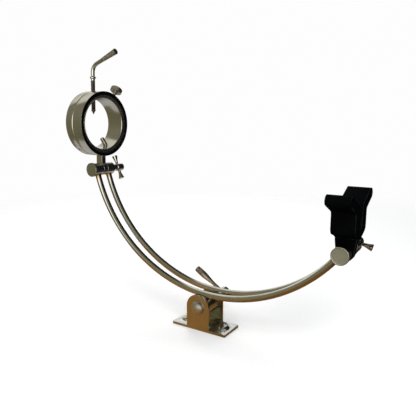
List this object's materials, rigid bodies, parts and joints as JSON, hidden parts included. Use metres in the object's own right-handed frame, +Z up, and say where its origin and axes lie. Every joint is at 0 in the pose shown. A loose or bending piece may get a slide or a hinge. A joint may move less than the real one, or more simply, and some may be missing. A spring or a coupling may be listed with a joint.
{
  "type": "swivelling ham stand",
  "caption": "Table-mounted ham stand: base bracket with pivot and clamp lever, twin-rod arc, rotating ring head with spike screw and clamp screw, tilting V cradle.",
  "frame": {"origin": "centre of the base plate's underside", "axes": "+X along the base plate towards the cradle, +Y along the pivot and hinge bolts towards the clamping knobs, +Z up"},
  "size_m": [0.4927, 0.1272, 0.4518],
  "materials": {
    "satin_steel": "satin stainless steel, turned or brushed",
    "polished_steel": "polished stainless steel",
    "dark_thread": "dark rolled thread",
    "black_nylon": "satin black plastic"
  },
  "bodies": {
    "base": {"base_bracket": "satin_steel", "base_screw_ring_side": "polished_steel", "base_screw_cradle_side": "polished_steel", "pivot_bolt": "polished_steel", "pivot_washer": "satin_steel"},
    "arc_frame": {"pivot_tube": "polished_steel", "pivot_bush_front": "black_nylon", "pivot_bush_rear": "black_nylon", "rod_front": "polished_steel", "rod_rear": "polished_steel", "left_knuckle_front": "polished_steel", "left_knuckle_rear": "polished_steel", "left_hinge_bolt": "polished_steel", "left_hinge_washer": "satin_steel", "right_knuckle_front": "polished_steel", "right_knuckle_rear": "polished_steel", "right_hinge_bolt": "polished_steel", "right_hinge_washer": "satin_steel", "right_hinge_spacer": "polished_steel"},
    "pivot_lever": {"lever_hub": "satin_steel", "lever_arm": "polished_steel", "lever_grip": "satin_steel"},
    "left_knob": {"left_knob_hub": "polished_steel", "left_knob_wing_a": "satin_steel", "left_knob_wing_b": "satin_steel"},
    "right_knob": {"right_knob_hub": "polished_steel", "right_knob_wing_a": "satin_steel", "right_knob_wing_b": "satin_steel"},
    "ring_head": {"neck": "satin_steel", "fixed_ring": "satin_steel", "ring_bush": "black_nylon", "face_ring": "black_nylon"},
    "turning_ring": {"rotating_ring": "satin_steel", "retaining_ring": "satin_steel", "ring_pin_front": "polished_steel", "ring_pin_rear": "polished_steel"},
    "spike": {"spike_screw": "dark_thread"},
    "spike_crank": {"spike_collar": "polished_steel", "spike_handle": "polished_steel", "spike_grip": "satin_steel"},
    "thumb_stud_body": {"thumb_stud": "polished_steel"},
    "thumb_knob_body": {"thumb_knob": "satin_steel"},
    "cradle_body": {"cradle": "black_nylon"}
  },
  "joints": [
    {"name": "arc_tilt", "type": "hinge", "parent": "base", "child": "arc_frame", "pos_m": [0, 0, 0.038], "axis": [0, 1, 0], "range_deg": [-25, 25]},
    {"name": "pivot_lever_turn", "type": "hinge", "parent": "base", "child": "pivot_lever", "pos_m": [0, 0.058, 0.038], "axis": [0, 1, 0], "range_deg": [-20, 100]},
    {"name": "head_tilt", "type": "hinge", "parent": "arc_frame", "child": "ring_head", "pos_m": [-0.22195, 0, 0.24713], "axis": [0, 1, 0], "range_deg": [-35, 35]},
    {"name": "left_knob_turn", "type": "hinge", "parent": "arc_frame", "child": "left_knob", "pos_m": [-0.22195, 0.041, 0.24713], "axis": [0, 1, 0], "range_deg": [-360, 360]},
    {"name": "cradle_tilt", "type": "hinge", "parent": "arc_frame", "child": "cradle_body", "pos_m": [0.22158, 0, 0.15834], "axis": [0, 1, 0], "range_deg": [-50, 50]},
    {"name": "right_knob_turn", "type": "hinge", "parent": "arc_frame", "child": "right_knob", "pos_m": [0.22158, 0.0615, 0.15834], "axis": [0, 1, 0], "range_deg": [-360, 360]},
    {"name": "ring_turn", "type": "hinge", "parent": "ring_head", "child": "turning_ring", "pos_m": [-0.22814, 0, 0.32749], "axis": [0.9994, 0, -0.0349], "range_deg": [-140, 140]},
    {"name": "spike_travel", "type": "slide", "parent": "turning_ring", "child": "spike", "axis": [0.0349, 0, 0.9994], "range_m": [-0.015, 0.0275]},
    {"name": "spike_crank_turn", "type": "hinge", "parent": "spike", "child": "spike_crank", "pos_m": [-0.23638, 0, 0.38381], "axis": [0.0349, 0, 0.9994], "range_deg": [-4320, 7920]},
    {"name": "thumb_travel", "type": "slide", "parent": "ring_head", "child": "thumb_stud_body", "axis": [0.0296, 0.5299, 0.8475], "range_m": [0, 0.002]},
    {"name": "thumb_turn", "type": "hinge", "parent": "thumb_stud_body", "child": "thumb_knob_body", "pos_m": [-0.21709, 0.02978, 0.3748], "axis": [0.0296, 0.5299, 0.8475], "range_deg": [0, 720]}
  ],
  "couplings": [
    {"joint": "spike_crank_turn", "follows": "spike_travel", "rad_per_m": 5026},
    {"joint": "thumb_turn", "follows": "thumb_travel", "rad_per_m": 6282.6}
  ]
}
